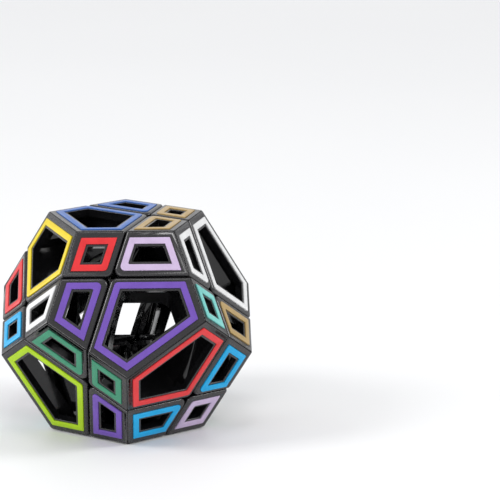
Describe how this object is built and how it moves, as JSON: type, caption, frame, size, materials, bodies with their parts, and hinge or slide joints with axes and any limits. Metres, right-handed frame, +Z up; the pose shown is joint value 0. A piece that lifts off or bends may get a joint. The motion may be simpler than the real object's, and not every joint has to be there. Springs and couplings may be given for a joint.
{
  "type": "dodecahedron twisty puzzle",
  "caption": "Hollow twelve-sided twisty puzzle whose windowed, colour-ringed pieces turn on circular tracks about four cutting planes through the centre.",
  "frame": {"origin": "centre of the puzzle, where the four turning axes cross", "axes": "+Z up out of the top face, -Y to the front, where one upper face points straight ahead; the puzzle stands on the face at -Z"},
  "size_m": [0.0782, 0.0822, 0.0674],
  "materials": {
    "frame_plastic": "satin",
    "tile_purple": "semi-gloss",
    "tile_red": "semi-gloss",
    "tile_lilac": "semi-gloss",
    "tile_gold": "semi-gloss",
    "tile_yellow": "semi-gloss",
    "tile_blue": "semi-gloss",
    "tile_cyan": "semi-gloss",
    "tile_green": "semi-gloss",
    "tile_lime": "semi-gloss",
    "tile_turquoise": "semi-gloss",
    "tile_magenta": "semi-gloss",
    "tile_white": "semi-gloss"
  },
  "bodies": {
    "edge_front": {"edge_front": "frame_plastic", "edge_front_tile_upper_front": "tile_purple", "edge_front_tile_lower_front_right": "tile_red", "edge_front_tile_lower_front_left": "tile_green", "edge_front_tile_upper_right": "tile_turquoise"},
    "edge_back": {"edge_back": "frame_plastic", "edge_back_tile_upper_back_left": "tile_cyan", "edge_back_tile_lower_back": "tile_lilac", "edge_back_small_tiles": "tile_blue"},
    "edge_top": {"edge_top": "frame_plastic", "edge_top_tile_upper_left": "tile_yellow", "edge_top_tile_top": "tile_blue", "edge_top_tile_upper_front": "tile_red", "edge_top_tile_upper_back_left": "tile_magenta"},
    "edge_bottom": {"edge_bottom": "frame_plastic", "edge_bottom_tile_bottom": "tile_gold", "edge_bottom_tile_lower_right": "tile_green", "edge_bottom_small_tiles": "tile_lilac"},
    "edge_left": {"edge_left": "frame_plastic", "edge_left_tile_lower_front_left": "tile_lime", "edge_left_tile_lower_left": "tile_turquoise", "edge_left_tile_upper_left": "tile_cyan", "edge_left_tile_bottom": "tile_purple"},
    "edge_right": {"edge_right": "frame_plastic", "edge_right_tile_upper_right": "tile_white", "edge_right_tile_upper_back_right": "tile_magenta", "edge_right_tile_top": "tile_gold", "edge_right_tile_lower_right": "tile_yellow"},
    "corner_front_left": {"corner_front_left": "frame_plastic", "corner_front_left_tile_upper_left": "tile_white", "corner_front_left_tile_upper_front": "tile_purple", "corner_front_left_tile_lower_front_left": "tile_green"},
    "corner_right": {"corner_right": "frame_plastic", "corner_right_tile_upper_right": "tile_gold", "corner_right_tile_lower_front_right": "tile_cyan", "corner_right_tile_lower_right": "tile_magenta"},
    "corner_top_back": {"corner_top_back": "frame_plastic", "corner_top_back_tile_top": "tile_blue", "corner_top_back_tile_upper_back_left": "tile_lime", "corner_top_back_tile_upper_back_right": "tile_turquoise"},
    "corner_bottom_back": {"corner_bottom_back": "frame_plastic", "corner_bottom_back_tile_lower_back": "tile_red", "corner_bottom_back_tile_lower_left": "tile_magenta", "corner_bottom_back_tile_bottom": "tile_lime"},
    "corner_back_right": {"corner_back_right": "frame_plastic", "corner_back_right_tile_lower_back": "tile_turquoise", "corner_back_right_tile_upper_back_right": "tile_green", "corner_back_right_tile_lower_right": "tile_blue"},
    "corner_left_back": {"corner_left_back": "frame_plastic", "corner_left_back_tile_upper_left": "tile_red", "corner_left_back_tile_upper_back_left": "tile_yellow", "corner_left_back_tile_lower_left": "tile_lilac"},
    "corner_bottom_front": {"corner_bottom_front": "frame_plastic", "corner_bottom_front_tile_lower_front_left": "tile_purple", "corner_bottom_front_tile_lower_front_right": "tile_cyan", "corner_bottom_front_tile_bottom": "tile_yellow"},
    "corner_top_front": {"corner_top_front": "frame_plastic", "corner_top_front_tile_top": "tile_gold", "corner_top_front_tile_upper_front": "tile_lilac", "corner_top_front_tile_upper_right": "tile_white"}
  },
  "joints": [
    {"name": "twist_c", "type": "hinge", "parent": "edge_bottom", "child": "corner_back_right", "pos_m": [0, 0, 0], "axis": [0, 0.6071, 0.7947], "continuous": true},
    {"name": "twist_d_edge_right", "type": "hinge", "parent": "corner_back_right", "child": "edge_right", "pos_m": [0, 0, 0], "axis": [-0.3568, 0.4911, -0.7947], "range_deg": [-360, 360]},
    {"name": "twist_a_corner_top_front", "type": "hinge", "parent": "edge_right", "child": "corner_top_front", "pos_m": [0, 0, 0], "axis": [-0.5774, -0.7947, 0.1876], "range_deg": [-360, 360]},
    {"name": "twist_b_edge_top", "type": "hinge", "parent": "corner_top_front", "child": "edge_top", "pos_m": [0, 0, 0], "axis": [0.9342, -0.3035, -0.1876], "range_deg": [-360, 360]},
    {"name": "twist_b_corner_top_back", "type": "hinge", "parent": "edge_right", "child": "corner_top_back", "pos_m": [0, 0, 0], "axis": [0.9342, -0.3035, -0.1876], "range_deg": [-360, 360]},
    {"name": "twist_b_edge_back", "type": "hinge", "parent": "corner_back_right", "child": "edge_back", "pos_m": [0, 0, 0], "axis": [0.9342, -0.3035, -0.1876], "range_deg": [-360, 360]},
    {"name": "twist_a_corner_left_back", "type": "hinge", "parent": "edge_back", "child": "corner_left_back", "pos_m": [0, 0, 0], "axis": [-0.5774, -0.7947, 0.1876], "range_deg": [-360, 360]},
    {"name": "twist_d", "type": "hinge", "parent": "edge_bottom", "child": "corner_right", "pos_m": [0, 0, 0], "axis": [-0.3568, 0.4911, -0.7947], "range_deg": [-360, 360]},
    {"name": "twist_b", "type": "hinge", "parent": "edge_bottom", "child": "corner_bottom_back", "pos_m": [0, 0, 0], "axis": [0.9342, -0.3035, -0.1876], "range_deg": [-360, 360]},
    {"name": "twist_a", "type": "hinge", "parent": "edge_bottom", "child": "corner_bottom_front", "pos_m": [0, 0, 0], "axis": [-0.5774, -0.7947, 0.1876], "range_deg": [-360, 360]},
    {"name": "twist_d_edge_front", "type": "hinge", "parent": "corner_bottom_front", "child": "edge_front", "pos_m": [0, 0, 0], "axis": [-0.3568, 0.4911, -0.7947], "range_deg": [-360, 360]},
    {"name": "twist_b_corner_front_left", "type": "hinge", "parent": "edge_front", "child": "corner_front_left", "pos_m": [0, 0, 0], "axis": [0.9342, -0.3035, -0.1876], "range_deg": [-360, 360]},
    {"name": "twist_b_edge_left", "type": "hinge", "parent": "corner_bottom_front", "child": "edge_left", "pos_m": [0, 0, 0], "axis": [0.9342, -0.3035, -0.1876], "range_deg": [-360, 360]}
  ],
  "couplings": [
    {"joint": "twist_d_edge_right", "follows": "twist_d", "ratio": 1},
    {"joint": "twist_a_corner_top_front", "follows": "twist_a", "ratio": 1},
    {"joint": "twist_b_edge_top", "follows": "twist_b", "ratio": 1},
    {"joint": "twist_b_corner_top_back", "follows": "twist_b", "ratio": 1},
    {"joint": "twist_b_edge_back", "follows": "twist_b", "ratio": 1},
    {"joint": "twist_a_corner_left_back", "follows": "twist_a", "ratio": 1},
    {"joint": "twist_d_edge_front", "follows": "twist_d", "ratio": 1},
    {"joint": "twist_b_corner_front_left", "follows": "twist_b", "ratio": 1},
    {"joint": "twist_b_edge_left", "follows": "twist_b", "ratio": 1}
  ]
}
